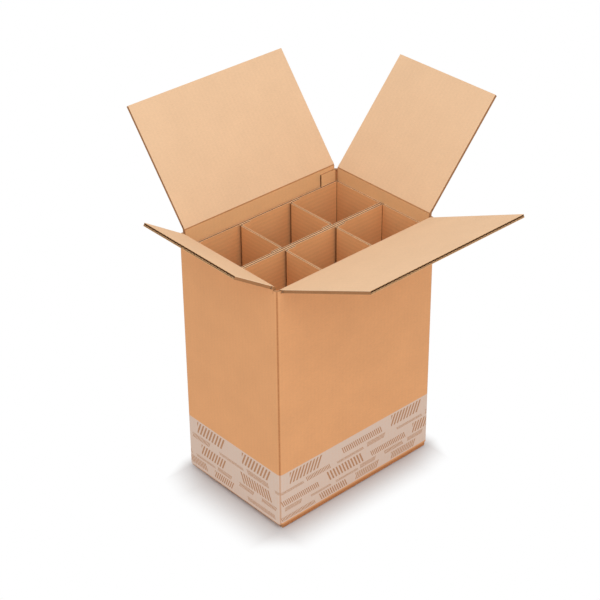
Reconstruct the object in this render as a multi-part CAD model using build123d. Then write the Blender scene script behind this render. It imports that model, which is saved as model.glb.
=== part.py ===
from build123d import *
import os

# Shipping box for six upright items: a case folded from one sheet of double-wall board, with four open
# top flaps, and an insert of two three-cell rows. Millimetres, +Z up, origin on the floor at the middle of
# the case. The rows run along X, and the front is the long wall that faces -Y.

# The case, measured outside
case_length = 285.0
case_width = 195.0
front_crease_height = 378.0
board = 4.5
floor_fold_radius = 3.0
inner_fold_radius = 0.5

# Glued lap that closes the sheet, inside the back wall at its right end
lap_width = 30.0
lap_thickness = 2.4
lap_taper = 4.0
lap_top_drop = 5.0
lap_shoulder = 5.0
lap_fold_bevel = 3.0

# Bottom flaps, folded shut and glued
floor_seam = 0.4
floor_side_flap = 97.0
long_floor_flap_gap = 0.2
short_floor_flap_gap = 1.0

# Top flaps, each measured from its outer crease to its free edge, and how far each leans out at rest
front_flap_length = 175.0
back_flap_length = 177.5
left_flap_length = 74.5
right_flap_length = 180.0
front_flap_lean_angle = 66.0
back_flap_lean_angle = 37.5
left_flap_lean_angle = 56.5
right_flap_lean_angle = 41.5
long_flap_end_gap = 2.5
short_flap_end_gap = 3.0
slot_depth = 1.0

# Crease: the flap turns on the outer face, and both boards are mitred for the closed position. Shut, the front
# flap lies lowest, the two end flaps lie on it and the back flap on top, so the creases step up in that order.
crease_clearance = 0.15
wall_mitre_drop = 0.3
flap_mitre_rise = 0.45
mitre_land = 2.0
stack_clearance = 0.3

# Fluting of the flaps: the coarse flute under the inner liner, open at the free edge and crushed at the crease
flute_pitch = 6.4
flute_height = 2.3
liner = 0.45
medium = 0.4
crushed_root = 14.0
flute_crest_share = 0.14
flute_foot_share = 0.36
flap_side_margin = 1.2

# The insert, of single-wall board
insert_board = 3.0
insert_top_height = 365.0
insert_clearance = 0.6
insert_fold_radius = 0.5
divider_tab = 18.0
cells_per_row = 3

# Sizes that follow from those above
inner_length = case_length - 2 * board
inner_width = case_width - 2 * board
corner_radius = board + inner_fold_radius
side_crease_height = front_crease_height + board + stack_clearance
back_crease_height = side_crease_height + board + stack_clearance
slot_floor = front_crease_height - slot_depth
ring_top = front_crease_height - wall_mitre_drop - board - mitre_land
ring_bottom = board + floor_fold_radius
floor_top = 2 * board
long_flap_width = case_length - 2 * (corner_radius + long_flap_end_gap)
short_flap_width = inner_width - 2 * short_flap_end_gap
long_floor_flap_width = case_length - 2 * (corner_radius + long_floor_flap_gap)
short_floor_flap_width = inner_width - 2 * short_floor_flap_gap
insert_corner_radius = insert_board + insert_fold_radius
row_length = inner_length - 2 * insert_clearance
row_width = (inner_width - lap_thickness - 3 * insert_clearance) / 2
front_row_y = -inner_width / 2 + insert_clearance + row_width / 2
back_row_y = front_row_y + row_width + insert_clearance
cell_width = row_width - 2 * insert_board
cell_length = (row_length - (cells_per_row + 1) * insert_board) / cells_per_row


def closed_face(points):
    return make_face(Polyline(*points, close=True))


def prism_along_x(points, length):
    """Solid of one outline of (y, z) points, centred on X."""
    return extrude(Plane.YZ * closed_face(points), amount=length / 2, both=True)


def rounded_rectangle(length, width, radius):
    return fillet(Rectangle(length, width).vertices(), radius)


def standing_ring(length, width, wall, outer_radius, inner_radius, bottom, top):
    """Sheet folded into an upright rectangular tube."""
    section = rounded_rectangle(length, width, outer_radius)
    section -= rounded_rectangle(length - 2 * wall, width - 2 * wall, inner_radius)
    return Pos(0, 0, bottom) * extrude(section, amount=top - bottom)


def wall_frames():
    """Frame at the middle of each wall's outer crease: -Y points out of the box and X runs along the crease."""
    return {
        "front": Location((0, -case_width / 2, front_crease_height), (0, 0, 0)),
        "right": Location((case_length / 2, 0, side_crease_height), (0, 0, 90)),
        "back": Location((0, case_width / 2, back_crease_height), (0, 0, 180)),
        "left": Location((-case_length / 2, 0, side_crease_height), (0, 0, -90)),
    }


def wall_top(crease_height, width):
    """Strip of wall between two corner slots, from the ring below it to the mitre under the crease."""
    foot = ring_top - crease_height
    outline = [(0, foot), (0, -wall_mitre_drop), (board, -wall_mitre_drop - board), (board, foot)]
    return prism_along_x(outline, width)


def floor_flap(reach, underside, width, wall_bottom):
    """Bottom flap with its fold and the foot of its wall; -Y is outside and the wall's outer face is at y = 0."""
    outline = [
        (0, wall_bottom),
        (0, underside),
        (reach, underside),
        (reach, underside + board),
        (board, underside + board),
        (board, wall_bottom),
    ]
    face = closed_face(outline)
    outer_corner = face.vertices().sort_by_distance((0, underside))[0]
    face = fillet(outer_corner, floor_fold_radius)
    inner_corner = face.vertices().sort_by_distance((board, underside + board))[0]
    face = fillet(inner_corner, inner_fold_radius)
    return extrude(Plane.YZ * face, amount=width / 2, both=True)


def glued_lap():
    """Lap folded in from the right wall and glued to the inside of the back wall, tapered at its foot."""
    corner_x = inner_length / 2 + inner_fold_radius
    end_x = inner_length / 2 - lap_width
    low = ring_bottom + floor_top
    top = back_crease_height - lap_top_drop
    outline = [
        (end_x, low + lap_taper),
        (corner_x, low),
        (corner_x, slot_floor),
        (corner_x - lap_shoulder, top),
        (end_x, top),
    ]
    lap = extrude(Plane.XZ * closed_face(outline), amount=lap_thickness)
    return Pos(0, inner_width / 2, 0) * lap


def lap_fold_groove():
    """Groove outside the lapped corner, between the right wall's bent fold and the back wall's raw edge."""
    outer_x = case_length / 2
    raw_edge_y = inner_width / 2
    outline = [
        (outer_x, raw_edge_y),
        (outer_x - lap_fold_bevel, raw_edge_y),
        (outer_x, raw_edge_y - lap_fold_bevel),
    ]
    return Pos(0, 0, ring_bottom) * extrude(closed_face(outline), amount=slot_floor - ring_bottom)


def corner_posts():
    """The folded corners between the wall strips, up to the floor of the slots that part the flaps."""
    posts = standing_ring(
        case_length, case_width, board, corner_radius, inner_fold_radius, ring_top, slot_floor
    )
    strips = Rectangle(long_flap_width, case_width) + Rectangle(case_length, short_flap_width)
    return posts - Pos(0, 0, ring_top) * extrude(strips, amount=slot_floor - ring_top)


def make_case():
    case = standing_ring(
        case_length, case_width, board, corner_radius, inner_fold_radius, ring_bottom, ring_top
    )
    case += corner_posts()
    square_corner = Pos(case_length / 2 - corner_radius / 2, case_width / 2 - board / 2, ring_bottom) * extrude(
        Rectangle(corner_radius, board), amount=slot_floor - ring_bottom
    )
    case = case + square_corner + glued_lap() - lap_fold_groove()

    for name, frame in wall_frames().items():
        crease_height = frame.position.Z
        is_long = name in ("front", "back")
        case += frame * wall_top(crease_height, long_flap_width if is_long else short_flap_width)
        bottom_flap = floor_flap(
            reach=(case_width - floor_seam) / 2 if is_long else floor_side_flap,
            underside=0 if is_long else board,
            width=long_floor_flap_width if is_long else short_floor_flap_width,
            wall_bottom=ring_bottom + inner_fold_radius + board,
        )
        case += frame * Pos(0, 0, -crease_height) * bottom_flap
    return case


def flute_channels(width):
    """Outlines of the channels between the wavy medium and its two liners, across the flap's edge."""
    foot = flute_foot_share * flute_pitch
    crest = flute_crest_share * flute_pitch
    high = board - liner
    low = high - flute_height
    count = int((width - 2 * flap_side_margin - 2 * foot) // (flute_pitch / 2))
    channels = []
    for index in range(count + 1):
        middle = (index - count / 2) * flute_pitch / 2
        if index % 2 == 0:
            corners = [(-foot, low), (foot, low), (crest, high - medium), (-crest, high - medium)]
        else:
            corners = [(-crest, low + medium), (crest, low + medium), (foot, high), (-foot, high)]
        channels.append(Wire.make_polygon([(middle + x, y, 0) for x, y in corners]))
    return channels


def make_flap(length, width):
    """Flap standing straight up on its crease, outer face at y = 0 and towards -Y."""
    half = width / 2
    edge = Wire.make_polygon([(-half, 0, 0), (half, 0, 0), (half, board, 0), (-half, board, 0)])
    fluted = Pos(0, 0, crushed_root) * extrude(
        Face(edge, flute_channels(width)), amount=length - crushed_root, dir=(0, 0, 1)
    )
    root_outline = [
        (0, flap_mitre_rise),
        (0, crushed_root),
        (board, crushed_root),
        (board, flap_mitre_rise + board),
    ]
    return prism_along_x(root_outline, width) + fluted


def leaning(flap, lean):
    """Turn an upright flap outwards about its crease."""
    to_axis = Pos(0, -crease_clearance, 0)
    return to_axis * Rot(X=lean) * to_axis.inverse() * flap


def make_row_sleeve():
    return standing_ring(
        row_length, row_width, insert_board, insert_corner_radius, insert_fold_radius, floor_top, insert_top_height
    )


def make_divider():
    """Z-shaped cross wall: one glued tab turns towards +X at its +Y end, the other towards -X at its -Y end."""
    tab_x = divider_tab / 2 - insert_board / 2
    tab_y = cell_width / 2 - insert_board / 2
    section = Rectangle(insert_board, cell_width)
    section += Pos(tab_x, tab_y) * Rectangle(divider_tab, insert_board)
    section += Pos(-tab_x, -tab_y) * Rectangle(divider_tab, insert_board)
    half = insert_board / 2
    for side in (1, -1):
        outer_corner = (-side * half, side * cell_width / 2)
        section = fillet(section.vertices().sort_by_distance(outer_corner)[0], insert_corner_radius)
        inner_corner = (side * half, side * (cell_width / 2 - insert_board))
        section = fillet(section.vertices().sort_by_distance(inner_corner)[0], insert_fold_radius)
    return Pos(0, 0, floor_top) * extrude(section, amount=insert_top_height - floor_top)


def build_nodes():
    walls = wall_frames()
    flaps = {
        "front": (front_flap_length, long_flap_width, front_flap_lean_angle),
        "back": (back_flap_length, long_flap_width, back_flap_lean_angle),
        "left": (left_flap_length, short_flap_width, left_flap_lean_angle),
        "right": (right_flap_length, short_flap_width, right_flap_lean_angle),
    }
    nodes = {"case": make_case()}
    for name, (length, width, lean) in flaps.items():
        nodes[f"flap_{name}"] = walls[name] * leaning(make_flap(length, width), lean)

    divider_x = (cell_length + insert_board) / 2
    for row, row_y in (("front", front_row_y), ("back", back_row_y)):
        nodes[f"sleeve_{row}"] = Pos(0, row_y, 0) * make_row_sleeve()
        for side, x in (("left", -divider_x), ("right", divider_x)):
            nodes[f"divider_{row}_{side}"] = Pos(x, row_y, 0) * make_divider()
    return nodes


os.makedirs("parts", exist_ok=True)
for node_name, solid in build_nodes().items():
    export_step(solid, f"parts/{node_name}.step")
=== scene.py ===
import math

import bmesh
import bpy
from mathutils import Matrix, Vector


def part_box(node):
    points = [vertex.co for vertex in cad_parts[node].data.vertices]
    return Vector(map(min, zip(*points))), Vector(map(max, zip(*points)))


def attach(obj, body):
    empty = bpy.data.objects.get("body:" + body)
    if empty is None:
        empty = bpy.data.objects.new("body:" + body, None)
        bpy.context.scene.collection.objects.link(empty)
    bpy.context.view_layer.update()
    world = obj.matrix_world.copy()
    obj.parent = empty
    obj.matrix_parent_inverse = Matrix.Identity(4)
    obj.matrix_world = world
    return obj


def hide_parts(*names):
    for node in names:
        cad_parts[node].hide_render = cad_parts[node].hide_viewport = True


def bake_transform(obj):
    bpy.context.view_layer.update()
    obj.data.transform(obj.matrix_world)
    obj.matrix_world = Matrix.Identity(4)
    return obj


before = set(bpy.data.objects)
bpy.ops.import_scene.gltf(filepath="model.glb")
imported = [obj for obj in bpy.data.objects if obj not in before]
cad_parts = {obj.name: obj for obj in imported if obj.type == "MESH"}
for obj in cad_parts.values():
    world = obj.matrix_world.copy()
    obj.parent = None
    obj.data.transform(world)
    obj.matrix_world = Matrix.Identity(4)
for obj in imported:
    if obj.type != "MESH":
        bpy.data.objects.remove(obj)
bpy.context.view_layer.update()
bpy.ops.object.select_all(action="DESELECT")


# Case: one sheet of double-wall board, scored and folded into four walls and a floor, and closed by a lap
# glued inside the back wall. Brown kraft liner outside with a pale band printed round the foot, paler liner
# inside. The solid has the folds; each face gets the liner that it shows, or the colour of a cut edge.
mm = 0.001
case_length, case_width, board = 285 * mm, 195 * mm, 4.5 * mm
half_length, half_width = case_length / 2, case_width / 2
lap_thickness = 2.4 * mm
coarse_pitch = 6.4 * mm


def srgb(red, green, blue):
    """A colour as seen on screen, 0 to 255, as linear red, green, blue and alpha."""
    def linear(value):
        value /= 255
        return value / 12.92 if value <= 0.04045 else ((value + 0.055) / 1.055) ** 2.4
    return (linear(red), linear(green), linear(blue), 1.0)


kraft_brown = srgb(220, 160, 110)
# The case's inside liner is the same sheet as the flaps' inside, in a more orange tan: painted shade and
# bounce light of its inner walls.
shaded_tan = srgb(238, 192, 140)
print_grey = srgb(210, 190, 176)
stroke_brown = srgb(174, 124, 86)
fold_and_shade_brown = srgb(168, 106, 62)
cut_brown = srgb(176, 128, 88)
lap_shade_brown = srgb(96, 58, 32)


def add_node(tree, kind, sockets=None, **settings):
    """One node with its settings; each socket gets a value, or a link from another node's output."""
    made = tree.nodes.new(kind)
    for key, value in settings.items():
        setattr(made, key, value)
    for key, value in (sockets or {}).items():
        if isinstance(value, bpy.types.NodeSocket):
            tree.links.new(value, made.inputs[key])
        else:
            made.inputs[key].default_value = value
    return made


def math_node(tree, operation, first, second=0.0, third=0.0):
    sockets = {0: first, 1: second, 2: third}
    return add_node(tree, "ShaderNodeMath", sockets, operation=operation).outputs[0]


def ramp(tree, value, start, end, low=0.0, high=1.0):
    """Smooth step of a value from low at start to high at end."""
    sockets = {"Value": value, "From Min": start, "From Max": end, "To Min": low, "To Max": high}
    return add_node(tree, "ShaderNodeMapRange", sockets, interpolation_type="SMOOTHSTEP").outputs["Result"]


def noise(tree, position, scale, detail):
    sockets = {"Vector": position, "Scale": scale, "Detail": detail}
    return add_node(tree, "ShaderNodeTexNoise", sockets).outputs[0]


def mix_colour(tree, share, first, second):
    """Blend of two colours, on the mixer's colour sockets."""
    sockets = {0: share, 6: first, 7: second}
    return add_node(tree, "ShaderNodeMix", sockets, data_type="RGBA").outputs[2]


def scale_colour(tree, colour, amount):
    sockets = {0: colour, "Scale": amount}
    return add_node(tree, "ShaderNodeVectorMath", sockets, operation="SCALE").outputs[0]


def new_group(name, inputs, outputs):
    """Empty node group; returns its tree, its inputs by name and its output node."""
    tree = bpy.data.node_groups.new(name, "ShaderNodeTree")
    for label, kind in inputs.items():
        tree.interface.new_socket(label, in_out="INPUT", socket_type=f"NodeSocket{kind}")
    for label, kind in outputs.items():
        tree.interface.new_socket(label, in_out="OUTPUT", socket_type=f"NodeSocket{kind}")
    return tree, tree.nodes.new("NodeGroupInput").outputs, tree.nodes.new("NodeGroupOutput").inputs


# Paper of a liner: cloudy sheet formation, short fibres that lie one way, and a few dark flecks.
cloud_scale, fleck_scale = 24.0, 1300.0
fibre_contrast, fleck_contrast = 0.24, 0.10
paper, given, out = new_group(
    "Liner paper",
    {"Position": "Vector", "Fibre scale": "Vector", "Colour": "Color", "Cloudiness": "Float"},
    {"Colour": "Color", "Roughness": "Float", "Height": "Float"},
)
clouds = noise(paper, given["Position"], cloud_scale, detail=4.0)
sockets = {0: given["Position"], 1: given["Fibre scale"]}
stretched = add_node(paper, "ShaderNodeVectorMath", sockets, operation="MULTIPLY").outputs[0]
fibres = noise(paper, stretched, 1.0, detail=3.0)
flecks = ramp(paper, noise(paper, given["Position"], fleck_scale, detail=1.0), 0.68, 0.76)
tone = math_node(paper, "MULTIPLY_ADD", math_node(paper, "SUBTRACT", clouds, 0.5), given["Cloudiness"], 1.0)
tone = math_node(paper, "MULTIPLY_ADD", math_node(paper, "SUBTRACT", fibres, 0.5), fibre_contrast, tone)
tone = math_node(paper, "MULTIPLY_ADD", flecks, -fleck_contrast, tone)
paper.links.new(scale_colour(paper, given["Colour"], tone), out["Colour"])
paper.links.new(ramp(paper, fibres, 0.3, 0.7, low=0.82, high=0.95), out["Roughness"])
paper.links.new(math_node(paper, "MULTIPLY_ADD", clouds, 0.4, fibres), out["Height"])

# Faint lines that the flutes press through a liner.
washboard, given, out = new_group("Flute lines", {"Across": "Float", "Pitch": "Float"}, {"Lines": "Float"})
turns = math_node(washboard, "DIVIDE", given["Across"], given["Pitch"])
wave = math_node(washboard, "SINE", math_node(washboard, "MULTIPLY", turns, 2 * math.pi))
washboard.links.new(math_node(washboard, "MULTIPLY_ADD", wave, 0.5, 0.5), out["Lines"])

# One row of brown strokes on the printed band: groups of slanted strokes, of uneven length, in two heights
# and leaning either way.
tall_groups, short_drop = 0.55, 0.42
stroke_pitch, inked_share = 0.33, 0.50
least_length, extra_length = 0.66, 0.28
left_leaning, stroke_slope = 0.3, 0.4
stroke_row, given, out = new_group(
    "Printed row",
    {"Along": "Float", "Height": "Float", "Foot": "Float", "Top": "Float", "Step": "Float", "Seed": "Float"},
    {"Mask": "Float"},
)
steps = math_node(stroke_row, "DIVIDE", given["Along"], given["Step"])
steps = math_node(stroke_row, "ADD", steps, given["Seed"])
sockets = {"W": math_node(stroke_row, "FLOOR", steps)}
chance = add_node(stroke_row, "ShaderNodeTexWhiteNoise", sockets, noise_dimensions="1D").outputs["Value"]
is_short = math_node(stroke_row, "GREATER_THAN", chance, tall_groups)
share = math_node(stroke_row, "MULTIPLY_ADD", is_short, -short_drop, 1.0)
row_height = math_node(stroke_row, "SUBTRACT", given["Top"], given["Foot"])
reach = math_node(stroke_row, "MULTIPLY", row_height, share)
pitch = math_node(stroke_row, "MULTIPLY", reach, stroke_pitch)
length = math_node(stroke_row, "MULTIPLY_ADD", chance, extra_length, least_length)
length = math_node(stroke_row, "MULTIPLY", length, given["Step"])
fitting = math_node(stroke_row, "FLOOR", math_node(stroke_row, "DIVIDE", length, pitch))
rise = math_node(stroke_row, "SUBTRACT", given["Height"], given["Foot"])
leans_right = math_node(stroke_row, "GREATER_THAN", chance, left_leaning)
slant = math_node(stroke_row, "MULTIPLY_ADD", leans_right, 2 * stroke_slope, -stroke_slope)
run = math_node(stroke_row, "MULTIPLY", math_node(stroke_row, "FRACT", steps), given["Step"])
leaned = math_node(stroke_row, "MULTIPLY_ADD", math_node(stroke_row, "SUBTRACT", rise, reach), slant, run)
stroke = math_node(stroke_row, "DIVIDE", leaned, pitch)
is_stroke = math_node(stroke_row, "LESS_THAN", math_node(stroke_row, "FRACT", stroke), inked_share)
marked = is_stroke
for limit in (
    math_node(stroke_row, "GREATER_THAN", stroke, 0.0),
    math_node(stroke_row, "LESS_THAN", math_node(stroke_row, "FLOOR", stroke), fitting),
    math_node(stroke_row, "GREATER_THAN", rise, 0.0),
    math_node(stroke_row, "LESS_THAN", rise, reach),
):
    marked = math_node(stroke_row, "MULTIPLY", marked, limit)
stroke_row.links.new(marked, out["Mask"])


def place_group(tree, group, sockets):
    return add_node(tree, "ShaderNodeGroup", sockets, node_tree=group).outputs


def new_material(name):
    """Empty material with a rough Principled shader; returns it, its tree and the shader's inputs."""
    material = bpy.data.materials.new(name)
    material.use_nodes = True
    shader = material.node_tree.nodes["Principled BSDF"]
    shader.inputs["Specular IOR Level"].default_value = 0.25
    return material, material.node_tree, shader.inputs


def add_bump(tree, surface, height, distance):
    bump = add_node(tree, "ShaderNodeBump", {"Height": height, "Distance": distance})
    tree.links.new(bump.outputs["Normal"], surface["Normal"])


liner_relief, flute_relief = 0.06 * mm, 0.15


def line_paper(tree, surface, position, across, colour, fibre_scale, cloudiness, line_depth, pitch):
    """Liner paper's roughness and relief, with flutes showing through; returns its colour and the lines."""
    sockets = {"Position": position, "Fibre scale": fibre_scale, "Colour": colour, "Cloudiness": cloudiness}
    sheet = place_group(tree, paper, sockets)
    lines = place_group(tree, washboard, {"Across": across, "Pitch": pitch})["Lines"]
    shade = ramp(tree, lines, 0.0, 1.0, 1.0 - line_depth, 1.0)
    tree.links.new(sheet["Roughness"], surface["Roughness"])
    height = math_node(tree, "MULTIPLY_ADD", lines, flute_relief, sheet["Height"])
    add_bump(tree, surface, height, liner_relief)
    return scale_colour(tree, sheet["Colour"], shade), lines


def liner_material(name, colour, axis, fibre_scale, cloudiness=0.10, line_depth=0.012, pitch=coarse_pitch):
    """Plain liner; axis is the number of the axis that crosses the flutes."""
    material, tree, surface = new_material(name)
    position = add_node(tree, "ShaderNodeTexCoord").outputs["Object"]
    across = add_node(tree, "ShaderNodeSeparateXYZ", {0: position}).outputs[axis]
    lined, _ = line_paper(tree, surface, position, across, colour, fibre_scale, cloudiness, line_depth, pitch)
    tree.links.new(lined, surface["Base Color"])
    return material


def upright_folds(tree, position, inset, core, edge, depth):
    """Depth at the case's upright folds, from their core to nothing at their edge, on a face at an inset."""
    place = add_node(tree, "ShaderNodeVectorMath", {0: position}, operation="ABSOLUTE").outputs[0]
    place = add_node(tree, "ShaderNodeSeparateXYZ", {0: place}).outputs
    to_end = math_node(tree, "SUBTRACT", half_length - inset, place[0])
    to_side = math_node(tree, "SUBTRACT", half_width - inset, place[1])
    return ramp(tree, math_node(tree, "MAXIMUM", to_end, to_side), core, edge, depth, 0.0)


def choose(tree, chooser, when_true, when_false):
    sockets = {"Factor": chooser, "A": when_false, "B": when_true}
    return add_node(tree, "ShaderNodeMix", sockets).outputs[0]


fibre_along, fibre_across = 260.0, 1700.0
fibres_level = (fibre_along, fibre_along, fibre_across)

# Outside liner of the case, with its print and its folds. The print runs on round the four walls. The folds
# are browner: crushed kraft at the upright folds, and at the foot crushed kraft with painted shade, darkest
# where the fold turns under towards the floor.
band_foot_long, band_foot_short, band_top = 10 * mm, 7.5 * mm, 92 * mm
band_rows = (  # foot, top, step of the groups, seed
    (70 * mm, 89 * mm, 96 * mm, 0.30),
    (58 * mm, 66 * mm, 58 * mm, 17.65),
    (37 * mm, 54 * mm, 84 * mm, 31.68),
    (27 * mm, 34 * mm, 47 * mm, 43.85),
    (12 * mm, 24 * mm, 70 * mm, 60.02),
)
ink_raggedness, ragged_scale, wear_scale = 0.9 * mm, 700.0, 420.0
ink_lost_at_folds = 0.6
printed_kraft, tree, surface = new_material("printed_kraft")
coordinates = add_node(tree, "ShaderNodeTexCoord").outputs
position = coordinates["Object"]
place = add_node(tree, "ShaderNodeSeparateXYZ", {0: position}).outputs
facing = add_node(tree, "ShaderNodeVectorMath", {0: coordinates["Normal"]}, operation="ABSOLUTE").outputs[0]
facing = add_node(tree, "ShaderNodeSeparateXYZ", {0: facing}).outputs
is_long = math_node(tree, "GREATER_THAN", facing[1], facing[0])
is_front = math_node(tree, "LESS_THAN", place[1], 0.0)
is_right = math_node(tree, "GREATER_THAN", place[0], 0.0)
past_corner = math_node(tree, "ADD", place[1], half_length + half_width)
round_back = math_node(tree, "SUBTRACT", case_length + case_width, place[0])
along_long = choose(tree, is_front, place[0], round_back)
along_short = choose(tree, is_right, past_corner, math_node(tree, "MULTIPLY", past_corner, -1.0))
along = choose(tree, is_long, along_long, along_short)
across = choose(tree, is_long, place[0], place[1])
lined, lines = line_paper(
    tree, surface, position, across, kraft_brown, fibres_level,
    cloudiness=0.13, line_depth=0.012, pitch=coarse_pitch,
)

ragged = math_node(tree, "SUBTRACT", noise(tree, position, ragged_scale, detail=2.0), 0.5)
ragged = math_node(tree, "MULTIPLY", ragged, ink_raggedness)
print_along = math_node(tree, "ADD", along, ragged)
print_height = math_node(tree, "ADD", place[2], ragged)
strokes = 0.0
for row_foot, row_top, step, seed in band_rows:
    sockets = {"Along": print_along, "Height": print_height, "Foot": row_foot, "Top": row_top}
    row = place_group(tree, stroke_row, {**sockets, "Step": step, "Seed": seed})["Mask"]
    strokes = math_node(tree, "MAXIMUM", row, strokes)
band_foot = choose(tree, is_long, band_foot_long, band_foot_short)
in_band = math_node(
    tree,
    "MULTIPLY",
    math_node(tree, "GREATER_THAN", print_height, band_foot),
    math_node(tree, "LESS_THAN", print_height, band_top),
)

worn = noise(tree, position, wear_scale, detail=3.0)
in_fold = upright_folds(tree, position, 0.0, core=1.2 * mm, edge=3.4 * mm, depth=1.0)
# Painted shade at the foot: browner below 10 mm, and fully so below 5 mm.
foot_fold_shade = ramp(tree, place[2], 5.0 * mm, 10.0 * mm, 1.0, 0.0)
fold_and_shade = math_node(tree, "MAXIMUM", in_fold, foot_fold_shade)
fold_and_shade = math_node(tree, "MULTIPLY", fold_and_shade, ramp(tree, worn, 0.2, 0.7, 0.7, 1.0))
coverage = math_node(tree, "MULTIPLY_ADD", lines, 0.05, ramp(tree, worn, 0.30, 0.55, 0.78, 0.92))
kept = math_node(tree, "MULTIPLY_ADD", in_fold, -ink_lost_at_folds, 1.0)
coverage = math_node(tree, "MULTIPLY", coverage, kept)
on_wall = math_node(tree, "LESS_THAN", facing[2], 0.5)
coverage = math_node(tree, "MULTIPLY", coverage, on_wall)
fold_and_shade_colour = mix_colour(tree, fold_and_shade, lined, fold_and_shade_brown)
printed = mix_colour(tree, math_node(tree, "MULTIPLY", in_band, coverage), fold_and_shade_colour, print_grey)
printed = mix_colour(tree, math_node(tree, "MULTIPLY", strokes, coverage), printed, stroke_brown)
tree.links.new(printed, surface["Base Color"])

# Inside liner of the case, with painted shade: browner in its inner corners along the upright folds, where
# shade falls.
inside_liner = liner_material("case_inside_liner", shaded_tan, 0, fibres_level)
tree = inside_liner.node_tree
base_colour = tree.nodes["Principled BSDF"].inputs["Base Color"]
position = add_node(tree, "ShaderNodeTexCoord").outputs["Object"]
in_fold = upright_folds(tree, position, board, core=2.0 * mm, edge=5.0 * mm, depth=0.8)
tree.links.new(mix_colour(tree, in_fold, base_colour.links[0].from_socket, fold_and_shade_brown), base_colour)


# Cut edges: the crushed section of the board, brown. The lap's cut end is darker: painted shade, where it
# stands in shadow inside the back wall.
def edge_material(name, colour):
    material, tree, surface = new_material(name)
    position = add_node(tree, "ShaderNodeTexCoord").outputs["Object"]
    even_fibres = (500.0, 500.0, 500.0)
    sockets = {"Position": position, "Colour": colour, "Cloudiness": 0.5, "Fibre scale": even_fibres}
    sheet = place_group(tree, paper, sockets)
    tree.links.new(sheet["Colour"], surface["Base Color"])
    tree.links.new(sheet["Roughness"], surface["Roughness"])
    add_bump(tree, surface, sheet["Height"], 0.3 * mm)
    return material


cut_edge = edge_material("cut_edge", cut_brown)
shaded_lap_edge = edge_material("shaded_lap_edge", lap_shade_brown)


def cover(piece, *materials):
    """Gives a piece its materials, the first on every face."""
    piece.data.materials.clear()
    for material in materials:
        piece.data.materials.append(material)
    return piece


case = cover(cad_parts["case"], printed_kraft, inside_liner, cut_edge, shaded_lap_edge)
on_outside, on_inside, on_cut, on_shaded_lap_cut = range(4)
touch, along_axis = 0.3 * mm, 0.97
inner_x, inner_y = half_length - board, half_width - board
liner_planes = {
    0: (half_length, inner_x),
    1: (half_width, inner_y, inner_y - lap_thickness),
    2: (0.0, board, 2 * board),
}
for face in case.data.polygons:
    centre, normal = face.center, face.normal
    is_inside = abs(centre.x) < inner_x + touch and abs(centre.y) < inner_y + touch and centre.z > touch
    face.material_index = on_inside if is_inside else on_outside
    for axis, planes in liner_planes.items():
        at = abs(centre[axis])
        if abs(normal[axis]) > along_axis and all(abs(at - plane) > touch for plane in planes):
            face.material_index = on_cut
    # Painted shade: the lap's cut end gets the dark brown.
    is_lap_end = normal.x < -along_axis and inner_y - lap_thickness < centre.y < inner_y
    if is_lap_end and abs(centre.x) < half_length - 2 * board:
        face.material_index = on_shaded_lap_cut


# Insert sleeves: two strips of single-wall board, each scored and folded into a ring of three cells, standing
# on the floor of the case. Two liners with a fluted paper between them; the flutes run level, along the top.
sleeve_length, sleeve_width = 274.8 * mm, 90.9 * mm
insert_foot, insert_top = 9 * mm, 365 * mm
insert_height = insert_top - insert_foot
insert_board, insert_fold = 3 * mm, 3.5 * mm
insert_liner, insert_flute_paper = 0.6 * mm, 0.3 * mm
insert_flute_depth = insert_board - 2 * insert_liner
insert_pitch = 6.4 * mm
insert_paper = liner_material("insert_liner", srgb(238, 182, 126), 2, fibres_level, 0.16, 0.05, insert_pitch)
# The fluted paper is dark brown: painted shade in the open flutes along the insert's top.
shaded_insert_flute_brown = liner_material("insert_flutes_shaded", srgb(112, 70, 38), 2, fibres_level, 0.2)
insert_rim = liner_material("insert_cut_rim", srgb(254, 214, 170), 0, fibres_level, 0.3)
# The insert's folds are dark brown: painted shade in the corners of the cells.
shaded_insert_fold = liner_material("shaded_insert_fold", srgb(128, 80, 42), 2, fibres_level, 0.3)
near = 0.01 * mm


def select_points(piece, wanted):
    """In edit mode, selects the points that a test accepts, and the edges between them."""
    points = bmesh.from_edit_mesh(piece.data)
    points.select_mode = {"VERT"}
    for point in points.verts:
        point.select = wanted(point.co)
    points.select_flush_mode()
    bmesh.update_edit_mesh(piece.data)


def apply_modifier(piece, kind, **settings):
    modifier = piece.modifiers.new(kind.title(), kind)
    for key, value in settings.items():
        setattr(modifier, key, value)
    bpy.context.view_layer.objects.active = piece
    bpy.ops.object.modifier_apply(modifier=modifier.name)


def fold_sheet(name, path, breadth, bends=()):
    """Sheet with no thickness along a path of (x, y) points, breadth high from z = 0, with rounded folds."""
    bpy.ops.object.select_all(action="DESELECT")
    (x0, y0), (x1, y1) = path[:2]
    bpy.ops.mesh.primitive_plane_add(
        size=1,
        location=((x0 + x1) / 2, (y0 + y1) / 2, breadth / 2),
        rotation=(math.pi / 2, 0, math.atan2(y1 - y0, x1 - x0)),
    )
    sheet = bpy.context.object
    sheet.name = name
    sheet.scale = (math.hypot(x1 - x0, y1 - y0), breadth, 1)
    bpy.ops.object.transform_apply()
    bpy.ops.object.mode_set(mode="EDIT")
    bpy.ops.mesh.select_mode(type="VERT")
    for (xa, ya), (xb, yb) in zip(path[1:], path[2:]):
        select_points(sheet, lambda at: math.hypot(at.x - xa, at.y - ya) < near)
        bpy.ops.mesh.extrude_region_move(TRANSFORM_OT_translate={"value": (xb - xa, yb - ya, 0)})
    bpy.ops.mesh.select_all(action="SELECT")
    bpy.ops.mesh.remove_doubles(threshold=near)
    for (x, y), radius in bends:
        select_points(sheet, lambda at: math.hypot(at.x - x, at.y - y) < near)
        bpy.ops.mesh.select_mode(type="EDGE")
        bpy.ops.mesh.bevel(offset=radius, segments=4, affect="EDGES")
        bpy.ops.mesh.select_mode(type="VERT")
    bpy.ops.object.mode_set(mode="OBJECT")
    return sheet


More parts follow.
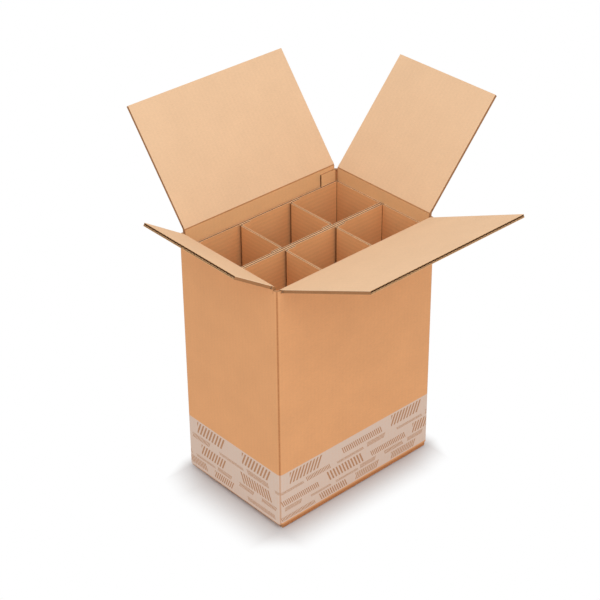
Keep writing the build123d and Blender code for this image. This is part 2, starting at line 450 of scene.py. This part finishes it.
def flute_sheet(width, height, pitch, depth, paper_thickness):
    """Fluted paper that waves along X about y = 0, standing on z = 0."""
    bpy.ops.object.select_all(action="DESELECT")
    phases = 8
    columns = max(1, round(width / pitch)) * phases
    bpy.ops.mesh.primitive_grid_add(
        x_subdivisions=columns,
        y_subdivisions=1,
        size=1,
        location=(0, 0, height / 2),
        rotation=(math.pi / 2, 0, 0),
    )
    flutes = bpy.context.object
    flutes.name = "flutes"
    flutes.scale = (width, height, 1)
    bpy.ops.object.transform_apply()
    bpy.ops.object.mode_set(mode="EDIT")
    bpy.ops.mesh.select_mode(type="VERT")
    for phase in range(phases):
        rise = math.cos(2 * math.pi * phase / phases) * (depth - paper_thickness) / 2
        if abs(rise) > 0.1 * near:
            select_points(flutes, lambda at: round((at.x / width + 0.5) * columns) % phases == phase)
            bpy.ops.transform.translate(value=(0, rise, 0))
    bpy.ops.object.mode_set(mode="OBJECT")
    apply_modifier(flutes, "SOLIDIFY", thickness=paper_thickness, offset=0)
    bpy.ops.object.shade_smooth_by_angle(angle=math.radians(60))
    return flutes


def put(piece, place):
    """Moves a piece by a matrix and leaves its object at the origin."""
    piece.matrix_world = place
    bpy.ops.object.select_all(action="DESELECT")
    piece.select_set(True)
    bpy.context.view_layer.objects.active = piece
    bpy.ops.object.transform_apply()
    return piece


def turned(degrees, axis="Z"):
    return Matrix.Rotation(math.radians(degrees), 4, axis)


def join_layers(name, layers):
    bpy.ops.object.select_all(action="DESELECT")
    for layer in layers:
        layer.select_set(True)
    bpy.context.view_layer.objects.active = layers[0]
    bpy.ops.object.join()
    layers[0].name = layers[0].data.name = name
    return layers[0]


def folded_liner(path, bends):
    """Liner of the insert's board, as high as the insert, with a pale cut rim, and painted shade on its
    folds: dark brown where shade falls in the cells' corners.
    """
    sheet = fold_sheet("liner", path, insert_height, bends)
    apply_modifier(sheet, "SOLIDIFY", thickness=insert_liner, offset=-1)
    cover(sheet, insert_paper, insert_rim, shaded_insert_fold)
    on_rim, on_shaded_score = 1, 2
    straight = 0.995
    for face in sheet.data.polygons:
        if abs(face.normal.z) > along_axis:
            face.material_index = on_rim
        elif max(abs(face.normal.x), abs(face.normal.y)) < straight:
            face.material_index = on_shaded_score
    return sheet


def ring_liner(inset):
    """Liner of a sleeve, folded into a ring at a depth in the board."""
    x, y = sleeve_length / 2 - inset, sleeve_width / 2 - inset
    corners = [(-x, -y), (x, -y), (x, y), (-x, y)]
    return folded_liner(corners + corners[:1], [(corner, insert_fold - inset) for corner in corners])


def level_flutes(run, place):
    """Fluted paper of one stretch of the insert's wall, with its flutes along the stretch, dark brown:
    painted shade in the open flutes.
    """
    flutes = flute_sheet(insert_height, run, insert_pitch, insert_flute_depth, insert_flute_paper)
    upright = Matrix.Translation((-run / 2, 0, insert_height / 2)) @ turned(90, "Y")
    return cover(put(flutes, place @ upright), shaded_insert_flute_brown)


def stand_copy(model, node):
    """Copy of a piece of the insert, with its own mesh, standing where its node is."""
    copy = model.copy()
    copy.data = model.data.copy()
    copy.name = copy.data.name = f"board_{node}"
    bpy.context.collection.objects.link(copy)
    low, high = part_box(node)
    return put(copy, Matrix.Translation(((low.x + high.x) / 2, (low.y + high.y) / 2, insert_foot)))


layers = [ring_liner(0.0), ring_liner(insert_board - insert_liner)]
for turn, run, reach in ((0, sleeve_length, sleeve_width), (90, sleeve_width, sleeve_length)):
    for side in (1, -1):
        offset = Matrix.Translation((0, side * (reach - insert_board) / 2, 0))
        layers.append(level_flutes(run - 2 * insert_fold, turned(turn) @ offset))
sleeve_model = join_layers("sleeve_model", layers)
for row in ("front", "back"):
    sleeve = stand_copy(sleeve_model, f"sleeve_{row}")
    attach(sleeve, "case")
    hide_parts(f"sleeve_{row}")
bpy.data.objects.remove(sleeve_model)


# Insert dividers: Z-shaped cross walls of the same board, each glued into its sleeve by a folded tab at both
# ends. The tab at the back end turns right and the one at the front end turns left.
divider_length, divider_tab = 84.9 * mm, 18 * mm
divider_fold, divider_inner_fold = 4.4 * mm, 0.5 * mm
half, end, tab = insert_board / 2, divider_length / 2, divider_tab - insert_board / 2
layers = []
for shift, front_fold, back_fold in (
    (insert_liner - half, divider_inner_fold + insert_liner, divider_fold - insert_liner),
    (half, divider_fold, divider_inner_fold),
):
    front_corner, back_corner = (shift, half - shift - end), (shift, end - half - shift)
    path = [(-tab, front_corner[1]), front_corner, back_corner, (tab, back_corner[1])]
    layers.append(folded_liner(path, [(front_corner, front_fold), (back_corner, back_fold)]))
tab_run = divider_tab - divider_fold
for run, x, y, turn in (
    (2 * (end - divider_fold), 0, 0, 90),
    (tab_run, tab_run / 2 - tab, half - end, 0),
    (tab_run, tab - tab_run / 2, end - half, 0),
):
    layers.append(level_flutes(run, Matrix.Translation((x, y, 0)) @ turned(turn)))
divider_model = join_layers("divider_model", layers)
for row in ("front", "back"):
    for side in ("left", "right"):
        divider = stand_copy(divider_model, f"divider_{row}_{side}")
        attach(divider, "case")
        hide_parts(f"divider_{row}_{side}")
bpy.data.objects.remove(divider_model)


# Top flaps: the ends of the case's sheet, double-wall board of three liners with a fine flute under the outer
# liner and a coarse one under the inner liner. Each turns on its crease. Its free edge shows the open flutes,
# and its side edges are crushed shut by the slotting knife.
front_crease, layer_step = 378 * mm, 4.8 * mm
side_crease, back_crease = front_crease + layer_step, front_crease + 2 * layer_step
axis_out, mitre_rise, mitre_drop = 0.15 * mm, 0.45 * mm, 0.3 * mm
outer_liner, middle_liner, inner_liner = 0.42 * mm, 0.36 * mm, 0.42 * mm
fine_depth, fine_pitch = 1.15 * mm, 3.4 * mm
coarse_depth = board - outer_liner - middle_liner - inner_liner - fine_depth
fine_paper, coarse_paper = 0.24 * mm, 0.45 * mm
side_trim, crushed_strip = 0.3 * mm, 0.2 * mm
long_width, short_width = 270 * mm, 180 * mm
flaps = {  # turn of the wall, middle of its outer face, height of the crease, width, length, lean
    "front": (0, (0, -half_width), front_crease, long_width, 175 * mm, 66.0),
    "right": (90, (half_length, 0), side_crease, short_width, 180 * mm, 41.5),
    "back": (180, (0, half_width), back_crease, long_width, 177.5 * mm, 37.5),
    "left": (-90, (-half_length, 0), side_crease, short_width, 74.5 * mm, 56.5),
}


def flap_papers(kind, axis, fibre_scale, fine_hollow_shade_brown):
    """Materials of the long or the short flaps, by the face that shows them."""
    # The hollows' faces, inside the open flutes, are painted shade: nearly black in the coarse flute, and
    # darker in the short flaps' fine flute than in the long flaps'.
    colours = {
        "outside": (kraft_brown, 0.10),
        "inside": (srgb(230, 192, 154), 0.10),
        "coarse_hollows": (srgb(48, 27, 14), 0.2),
        "fine_hollows": (fine_hollow_shade_brown, 0.2),
        "free_edge": (srgb(220, 174, 126), 0.3),
        "flute_rim": (srgb(152, 104, 66), 0.3),
        "side_edge": (srgb(164, 116, 76), 0.3),
        "side_rim": (srgb(246, 214, 180), 0.3),
        # the score: crushed paper with painted shade in its groove
        "score": (srgb(192, 138, 92), 0.3),
    }
    return {
        face: liner_material(f"{kind}_flap_{face}", colour, axis, fibre_scale, cloudiness)
        for face, (colour, cloudiness) in colours.items()
    }


long_papers = flap_papers("long", 0, (fibre_along, fibre_across, fibre_across), srgb(184, 136, 92))
short_papers = flap_papers("short", 1, (fibre_across, fibre_along, fibre_across), srgb(136, 94, 60))


def paint_layer(layer, outward, inward, free_edge, side_edge):
    """Gives a flap's layer its outward and inward faces, and the rims at its free edge and at its sides."""
    cover(layer, outward, inward, free_edge, side_edge)
    on_inward, on_free_edge, on_side_edge = 1, 2, 3
    sideways = 0.9
    for face in layer.data.polygons:
        if abs(face.normal.z) > along_axis:
            face.material_index = on_free_edge
        elif abs(face.normal.x) > sideways:
            face.material_index = on_side_edge
        elif face.normal.y > 0:
            face.material_index = on_inward


def on_flap(angle, depth, rise):
    """A point of a flap that leans out by an angle, in (y, z) from the outer crease."""
    out = depth + axis_out
    return Vector(
        (
            out * math.cos(angle) - rise * math.sin(angle) - axis_out,
            out * math.sin(angle) + rise * math.cos(angle),
        )
    )


for wall, (turn, (x, y), crease_height, width, length, lean) in flaps.items():
    papers = long_papers if wall in ("front", "back") else short_papers
    crease = Matrix.Translation((x, y, crease_height)) @ turned(turn)
    swing = Matrix.Translation((0, -axis_out, 0)) @ turned(lean, "X") @ Matrix.Translation((0, axis_out, 0))
    fine, coarse, side = papers["fine_hollows"], papers["coarse_hollows"], papers["side_edge"]
    rim, flute_rim = papers["free_edge"], papers["flute_rim"]
    edge = width / 2 - side_trim
    layers = []
    depth = 0.0
    for thickness, pitch, flute_paper, *faces in (
        (outer_liner, None, None, papers["outside"], fine, rim, side),
        (fine_depth, fine_pitch, fine_paper, fine, fine, rim, side),
        (middle_liner, None, None, fine, coarse, rim, side),
        (coarse_depth, coarse_pitch, coarse_paper, coarse, coarse, flute_rim, side),
        (inner_liner, None, None, coarse, papers["inside"], rim, papers["side_rim"]),
    ):
        root = mitre_rise + (depth + thickness if depth else 0.0)
        if pitch:
            layer = flute_sheet(2 * edge, length - root, pitch, thickness, flute_paper)
            put(layer, Matrix.Translation((0, depth + thickness / 2, root)))
        else:
            layer = fold_sheet("liner", [(-edge, 0), (edge, 0)], length - root)
            apply_modifier(layer, "SOLIDIFY", thickness=thickness, offset=-1)
            put(layer, Matrix.Translation((0, depth, root)))
        paint_layer(layer, *faces)
        layers.append(layer)
        depth += thickness
    root = mitre_rise + board
    for crushed in (edge - crushed_strip, crushed_strip - edge):
        path = [(crushed, outer_liner), (crushed, board - inner_liner)]
        strip = fold_sheet("crushed_side", path, length - root - crushed_strip)
        apply_modifier(strip, "SOLIDIFY", thickness=crushed_strip, offset=0)
        layers.append(cover(put(strip, Matrix.Translation((0, 0, root))), side))
    flap = put(join_layers(f"board_flap_{wall}", layers), crease @ swing)
    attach(flap, f"flap_{wall}")
    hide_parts(f"flap_{wall}")

    # Crease of this flap: the crushed strip where the wall bends over into the flap, with the score that the
    # creasing wheel pressed into its inner liner. It joins the wall to the flap at the flap's lean.
    score_width, score_depth = 1.0 * mm, 0.8 * mm
    angle = math.radians(lean)
    along_flap = Vector((-math.sin(angle), math.cos(angle)))
    wall_top, flap_root = Vector((board, -mitre_drop - board)), on_flap(angle, board, mitre_rise + board)
    corner = flap_root + along_flap * (board - flap_root.x) / along_flap.x
    into_board = Vector((-1 - math.cos(angle), -math.sin(angle))).normalized()
    groove = corner + into_board * score_depth
    below, above = corner - Vector((0, score_width)), corner + along_flap * score_width
    outer_flap, outer_wall = on_flap(angle, 0, mitre_rise), Vector((0, -mitre_drop))
    profile = [wall_top]
    profile += [wall_top.lerp(below, share) for share in (0.35, 0.7, 1.0)]
    profile += [groove]
    profile += [above.lerp(flap_root, share) for share in (0.0, 0.3, 0.65, 1.0)]
    profile += [outer_flap, outer_wall, wall_top]
    fold = fold_sheet(f"crease_{wall}", [tuple(point) for point in profile], width)
    bpy.ops.object.mode_set(mode="EDIT")
    for end in (0.0, width):
        select_points(fold, lambda at: abs(at.z - end) < near)
        bpy.ops.mesh.edge_face_add()
    bpy.ops.mesh.select_all(action="SELECT")
    bpy.ops.mesh.normals_make_consistent(inside=False)
    bpy.ops.object.mode_set(mode="OBJECT")
    # Painted shade: the score's faces are a darker brown, the crushed paper shaded in the groove.
    cover(fold, papers["inside"], papers["outside"], papers["score"], side, inside_liner)
    on_outside, on_shaded_score, on_side, on_wall_liner = 1, 2, 3, 4
    for face in fold.data.polygons:
        at = Vector(face.center[:2])
        if abs(face.normal.z) > along_axis:
            face.material_index = on_side
        elif (at - groove).length < score_width:
            face.material_index = on_shaded_score
        elif (at - (outer_flap + outer_wall) / 2).length < touch:
            face.material_index = on_outside
        elif abs(at.x - board) < 0.1 * touch:
            face.material_index = on_wall_liner
    lay_down = Matrix(((0, 0, 1, -width / 2), (1, 0, 0, 0), (0, 1, 0, 0), (0, 0, 0, 1)))
    put(fold, crease @ lay_down)
    start, end = (crease @ Vector((0, *point)) for point in (wall_top, flap_root))
    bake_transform(fold)


# Slot corners: the folded corners of the case's sheet, which the slotting knife left standing between the
# flaps. They are the same double-wall board and go on from the case's own corners, with raw cut tops.
slot_floor, slot_gap, corner_fold = 377 * mm, 0.6 * mm, 5 * mm
for side_x, side_y, top in ((-1, -1, 381.5 * mm), (1, -1, 379 * mm), (1, 1, 380 * mm), (-1, 1, 384 * mm)):
    slot_x, slot_y = side_x * (long_width / 2 + slot_gap), side_y * (short_width / 2 + slot_gap)
    corner = (side_x * half_length, side_y * half_width)
    path = [(corner[0], slot_y), corner, (slot_x, corner[1])]
    if side_x * side_y < 0:
        path.reverse()
    ends = ("left" if side_x < 0 else "right", "front" if side_y < 0 else "back")
    post = fold_sheet("slot_corner_{}_{}".format(*ends), path, top - slot_floor, [(corner, corner_fold)])
    apply_modifier(post, "SOLIDIFY", thickness=board, offset=-1, use_even_offset=True)
    cover(post, printed_kraft, inside_liner, cut_edge)
    for face in post.data.polygons:
        at, normal = face.center, face.normal
        at_slot = abs(at.x - slot_x) < near or abs(at.y - slot_y) < near
        if abs(normal.z) > along_axis or at_slot:
            face.material_index = on_cut
        elif normal.x * side_x + normal.y * side_y < 0:
            face.material_index = on_inside
    put(post, Matrix.Translation((0, 0, slot_floor)))
    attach(post, "case")


# Floor: a plain white sheet under the case. It shows the soft shadow at the case's foot, partly real and
# partly painted shadow: near the foot the camera sees the sheet grey, and this fades to plain white a short
# way off, sooner on the far sides.
floor_size, floor_drop = 30.0, 0.2 * mm
foot_shade_grey, bounce_white = (0.62, 0.61, 0.615, 1), (0.92, 0.92, 0.92, 1)
fade_start, fade_end = -6 * mm, 66 * mm
near_weights, far_weights = (1.0, 1.12), (2.0, 2.0)
inner_margin, inner_weights = 45 * mm, (0.25, 0.3)
bpy.ops.object.select_all(action="DESELECT")
bpy.ops.mesh.primitive_plane_add(size=floor_size, location=(0, 0, -floor_drop))
floor = bpy.context.object
floor.name = "floor"
floor_white, tree, surface = new_material("floor_white")
surface["Roughness"].default_value = 1.0
surface["Specular IOR Level"].default_value = 0.0
white = add_node(tree, "ShaderNodeEmission", {"Color": (1, 1, 1, 1), "Strength": 1.0}).outputs[0]
place = add_node(tree, "ShaderNodeTexCoord").outputs["Object"]


def reach_past(side, margin, weights):
    """How far a place lies past the foot of the case, plus a margin, on the sides towards -1 or +1."""
    sockets = {0: place, 1: (side, side, 0), 2: (margin - half_length, margin - half_width, 0)}
    past = add_node(tree, "ShaderNodeVectorMath", sockets, operation="MULTIPLY_ADD").outputs[0]
    past = add_node(tree, "ShaderNodeVectorMath", {0: past, 1: (0, 0, 0)}, operation="MAXIMUM").outputs[0]
    sockets = {0: past, 1: (*weights, 0)}
    return add_node(tree, "ShaderNodeVectorMath", sockets, operation="DOT_PRODUCT").outputs["Value"]


def seen_rays(tree):
    """1 for what the camera sees, also by reflection, and 0 for light that falls on other surfaces."""
    rays = add_node(tree, "ShaderNodeLightPath").outputs
    seen = math_node(tree, "MAXIMUM", rays["Is Camera Ray"], rays["Is Glossy Ray"])
    return math_node(tree, "MAXIMUM", seen, rays["Is Transmission Ray"])


# Painted shadow: how far past the foot the camera's grey floor fades to white.
inner_reach = reach_past(1, inner_margin, inner_weights)
away = math_node(tree, "ADD", reach_past(-1, 0.0, near_weights), inner_reach)
away = math_node(tree, "ADD", away, reach_past(1, 0.0, far_weights))
seen = seen_rays(tree)
tree.links.new(mix_colour(tree, seen, bounce_white, foot_shade_grey), surface["Base Color"])
share = math_node(tree, "MULTIPLY", seen, ramp(tree, away, fade_start, fade_end))
sockets = {0: share, 1: tree.nodes["Principled BSDF"].outputs[0], 2: white}
shown = add_node(tree, "ShaderNodeMixShader", sockets).outputs[0]
tree.links.new(shown, tree.nodes["Material Output"].inputs["Surface"])
floor.data.materials.append(floor_white)


# Light: an even white room, and one large soft lamp above and to the left of the camera. The camera sees the
# room as plain white.
room_brightness = 0.88
world = bpy.data.worlds.new("room")
bpy.context.scene.world = world
world.use_nodes = True
tree = world.node_tree
background = tree.nodes["Background"].inputs
background["Color"].default_value = (1, 1, 1, 1)
tree.links.new(ramp(tree, seen_rays(tree), 0.0, 1.0, room_brightness, 1.0), background["Strength"])
bpy.ops.object.light_add(type="AREA", location=(-0.6, -1.3, 2.4))
lamp = bpy.context.object
lamp.name = "soft_lamp"
lamp.data.shape = "SQUARE"
lamp.data.size = 1.7
lamp.data.energy = 17
lit_point = Vector((0, 0, 0.25))
lamp.rotation_euler = (lit_point - lamp.location).to_track_quat("-Z", "Y").to_euler()


# Camera: at the photograph's viewing angle, looking at a target near the middle of the open box. The focal
# length is in pixels of the picture.
azimuth, elevation, roll = math.radians(-41.964), math.radians(32.268), math.radians(-0.500)
target, distance = Vector((0.06890, 0.09411, 0.19189)), 2.5224
focal_pixels, picture_pixels = 1746.58, 600
bpy.ops.object.camera_add()
camera = bpy.context.object
camera.name = "camera"
back = Vector(
    (math.sin(azimuth) * math.cos(elevation), -math.cos(azimuth) * math.cos(elevation), math.sin(elevation))
)
right = Vector((math.cos(azimuth), math.sin(azimuth), 0))
up = back.cross(right)
right, up = (
    math.cos(roll) * right + math.sin(roll) * up,
    -math.sin(roll) * right + math.cos(roll) * up,
)
facing = Matrix((right, up, back)).transposed().to_4x4()
camera.matrix_world = Matrix.Translation(target + back * distance) @ facing
camera.data.sensor_width = 36
camera.data.lens = focal_pixels * camera.data.sensor_width / picture_pixels
camera.data.clip_end = 100
bpy.context.scene.camera = camera
bpy.context.scene.view_settings.view_transform = "Standard"
